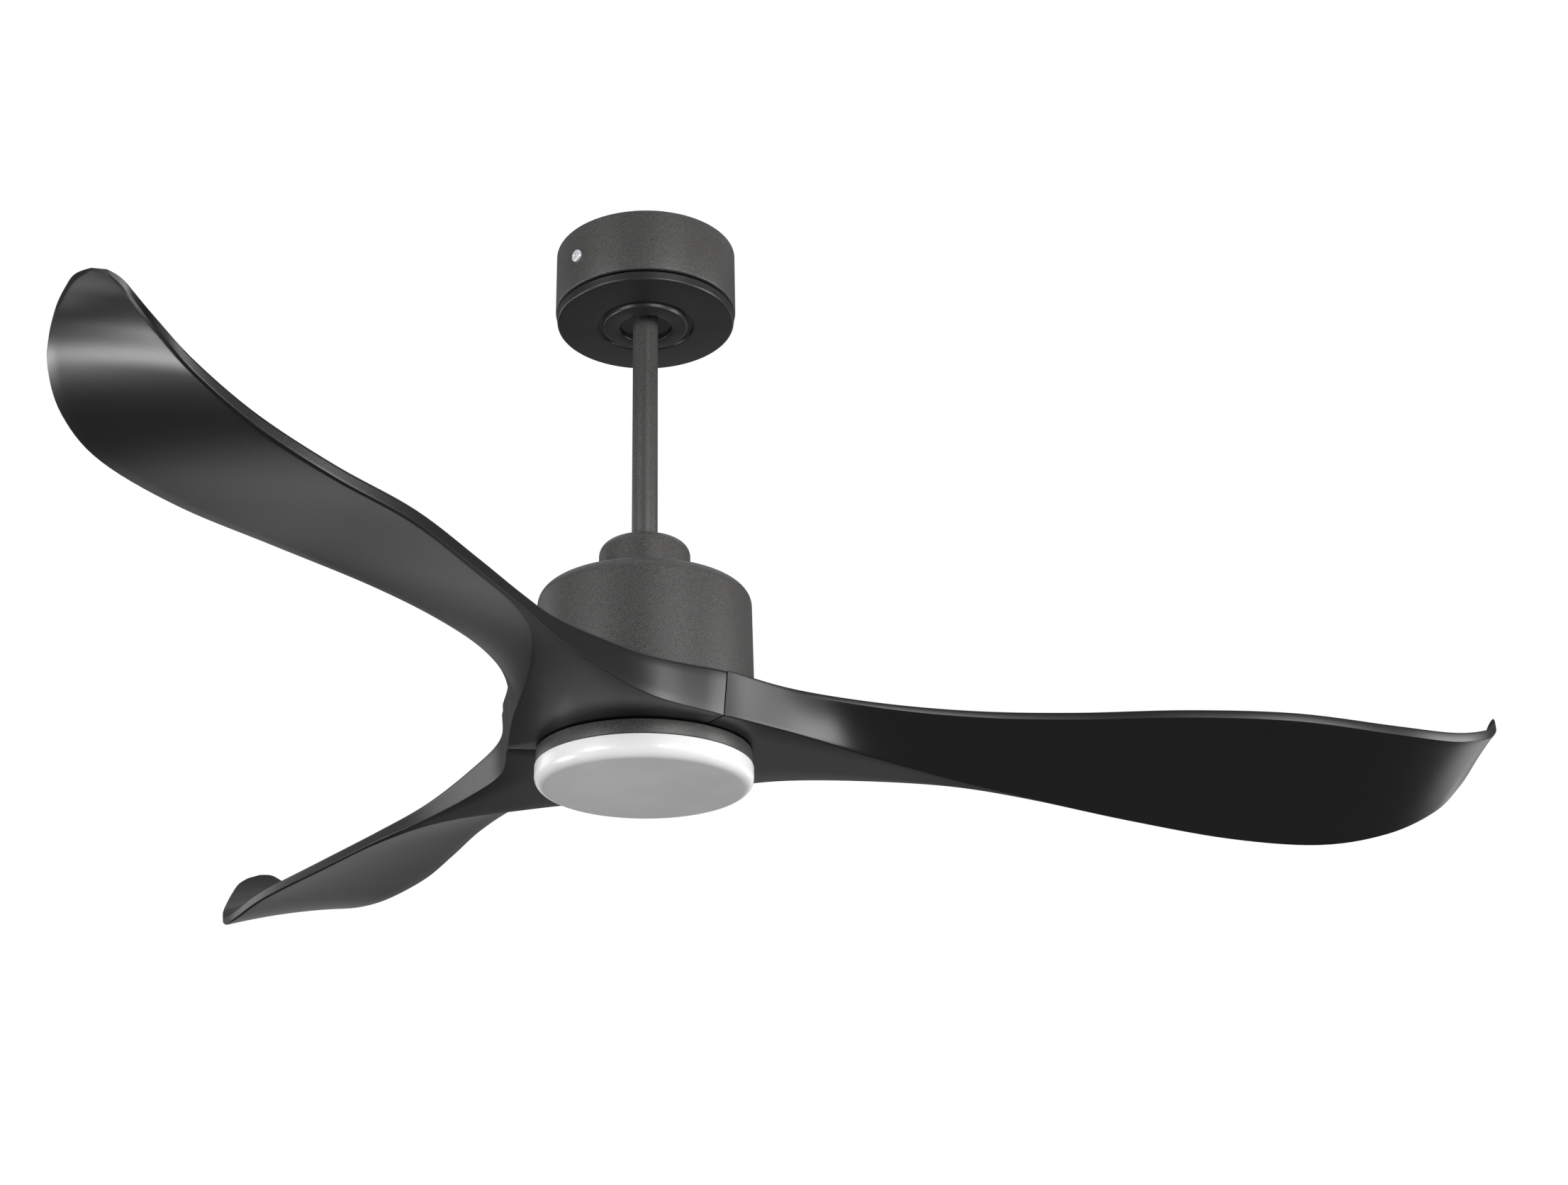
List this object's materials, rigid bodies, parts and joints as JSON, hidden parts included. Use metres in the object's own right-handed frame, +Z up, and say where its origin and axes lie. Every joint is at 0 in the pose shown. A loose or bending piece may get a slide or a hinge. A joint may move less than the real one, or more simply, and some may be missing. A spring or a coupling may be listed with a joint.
{
  "type": "ceiling fan with light",
  "caption": "Ceiling fan with swept, mitred blades under a cup-shaped motor housing, a short downrod and canopy, and a round opal light below.",
  "frame": {"origin": "on the ceiling face of the hanger bracket, on the fan's upright axis", "axes": "+Z up along the downrod and the motor shaft; +X towards the middle of the blade that sweeps to the right; +Y away from the viewer"},
  "size_m": [1.0783, 1.1415, 0.4585],
  "materials": {
    "textured_paint": "dark grey fine-textured paint",
    "trim_paint": "satin dark grey paint",
    "blade_plastic": "satin black moulded plastic",
    "opal_plastic": "white opal diffusing plastic",
    "zinc_steel": "zinc-plated steel",
    "bright_steel": "polished steel",
    "cast_aluminium": "cast aluminium",
    "lamination_steel": "electrical steel laminations",
    "copper_wire": "enamelled copper winding",
    "magnet": "sintered ferrite",
    "nylon": "natural nylon",
    "black_plastic": "moulded black plastic",
    "white_board": "white solder mask",
    "cable_sheath": "black cable sheath"
  },
  "bodies": {
    "ceiling_mount": {"hanger_bracket": "zinc_steel", "ceiling_screw_1": "zinc_steel", "ceiling_screw_2": "zinc_steel", "earth_screw": "bright_steel", "canopy_shell": "textured_paint", "canopy_screw_1": "bright_steel", "canopy_screw_2": "bright_steel", "canopy_trim": "trim_paint", "terminal_block": "nylon", "remote_receiver": "black_plastic", "supply_lead": "cable_sheath"},
    "socket": {"ball_socket_liner": "nylon"},
    "hanging_motor": {"ball_cross_pin": "zinc_steel", "ball_set_screw": "zinc_steel", "coupling_cover": "textured_paint", "downrod": "textured_paint", "hanger_ball": "black_plastic", "housing_screw_1": "zinc_steel", "housing_screw_2": "zinc_steel", "housing_screw_3": "zinc_steel", "led_board": "white_board", "led_driver": "black_plastic", "led_screw_1": "zinc_steel", "led_screw_2": "zinc_steel", "light_ring": "textured_paint", "lower_bearing_inner_race": "bright_steel", "lower_winding": "copper_wire", "motor_housing": "textured_paint", "motor_lead": "cable_sheath", "motor_shaft": "bright_steel", "ring_nut": "zinc_steel", "rod_yoke": "cast_aluminium", "stator_core": "lamination_steel", "stator_top_plate": "cast_aluminium", "upper_bearing_inner_race": "bright_steel", "upper_winding": "copper_wire", "yoke_pin": "zinc_steel", "yoke_pin_clip": "bright_steel", "yoke_set_screw_1": "zinc_steel", "yoke_set_screw_2": "zinc_steel"},
    "rotor": {"rotor_hub": "cast_aluminium", "rotor_bell": "cast_aluminium", "magnet_ring": "magnet", "upper_bearing_outer_race": "bright_steel", "lower_bearing_outer_race": "bright_steel", "upper_bearing_ball_cage": "bright_steel", "lower_bearing_ball_cage": "bright_steel", "blade_1": "blade_plastic", "blade_1_screw_1": "zinc_steel", "blade_1_screw_2": "zinc_steel", "blade_2": "blade_plastic", "blade_2_screw_1": "zinc_steel", "blade_2_screw_2": "zinc_steel", "blade_3": "blade_plastic", "blade_3_screw_1": "zinc_steel", "blade_3_screw_2": "zinc_steel"},
    "diffuser": {"light_diffuser": "opal_plastic"}
  },
  "joints": [
    {"name": "swing_x", "type": "hinge", "parent": "ceiling_mount", "child": "socket", "pos_m": [0, 0, -0.027], "axis": [1, 0, 0], "range_deg": [-8, 8]},
    {"name": "swing_y", "type": "hinge", "parent": "socket", "child": "hanging_motor", "pos_m": [0, 0, -0.027], "axis": [0, 1, 0], "range_deg": [-8, 8]},
    {"name": "rotor_spin", "type": "hinge", "parent": "hanging_motor", "child": "rotor", "pos_m": [0, 0, -0.4275], "axis": [0, 0, 1], "continuous": true},
    {"name": "diffuser_twist", "type": "hinge", "parent": "hanging_motor", "child": "diffuser", "pos_m": [0, 0, -0.4275], "axis": [0, 0, 1], "range_deg": [0, 20]}
  ]
}
